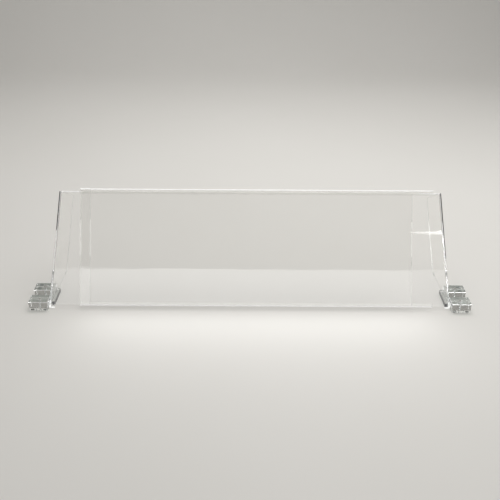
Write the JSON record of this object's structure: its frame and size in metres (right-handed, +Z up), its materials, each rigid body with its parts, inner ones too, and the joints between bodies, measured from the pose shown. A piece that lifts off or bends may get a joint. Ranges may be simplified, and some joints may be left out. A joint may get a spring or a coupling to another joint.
{
  "type": "sneeze guard",
  "caption": "Freestanding extending countertop sneeze guard: two overlapping clear leaning shields with folded side returns, guide rails and screwed block feet.",
  "frame": {"origin": "middle of the guard's plan outline, on the table", "axes": "+X right along the counter seen from the customer's side, +Y from the customer towards the food, +Z up"},
  "size_m": [1.34, 0.3598, 0.3215],
  "materials": {
    "sheet": "clear cast acrylic, polished",
    "rail": "clear extruded acrylic",
    "foot": "thick clear acrylic block, flame-polished edges",
    "screw": "bright stainless steel",
    "pad": "clear soft bumper"
  },
  "bodies": {
    "left_half": {"left_shield": "sheet", "left_foot_base": "foot", "left_foot_front_block": "foot", "left_foot_rear_block": "foot", "left_foot_screws": "screw", "left_foot_pads": "pad", "left_wing_bumper": "pad"},
    "right_half": {"right_shield": "sheet", "top_rail_floor": "rail", "top_rail_front_lip": "rail", "top_rail_back_lip": "rail", "bottom_rail_floor": "rail", "bottom_rail_front_lip": "rail", "bottom_rail_back_lip": "rail", "end_stile": "rail", "right_foot_base": "foot", "right_foot_front_block": "foot", "right_foot_rear_block": "foot", "right_foot_screws": "screw", "right_foot_pads": "pad", "right_wing_bumper": "pad"}
  },
  "joints": [
    {"name": "extend", "type": "slide", "parent": "left_half", "child": "right_half", "axis": [1, 0, 0], "range_m": [-0.04, 0.61]}
  ]
}
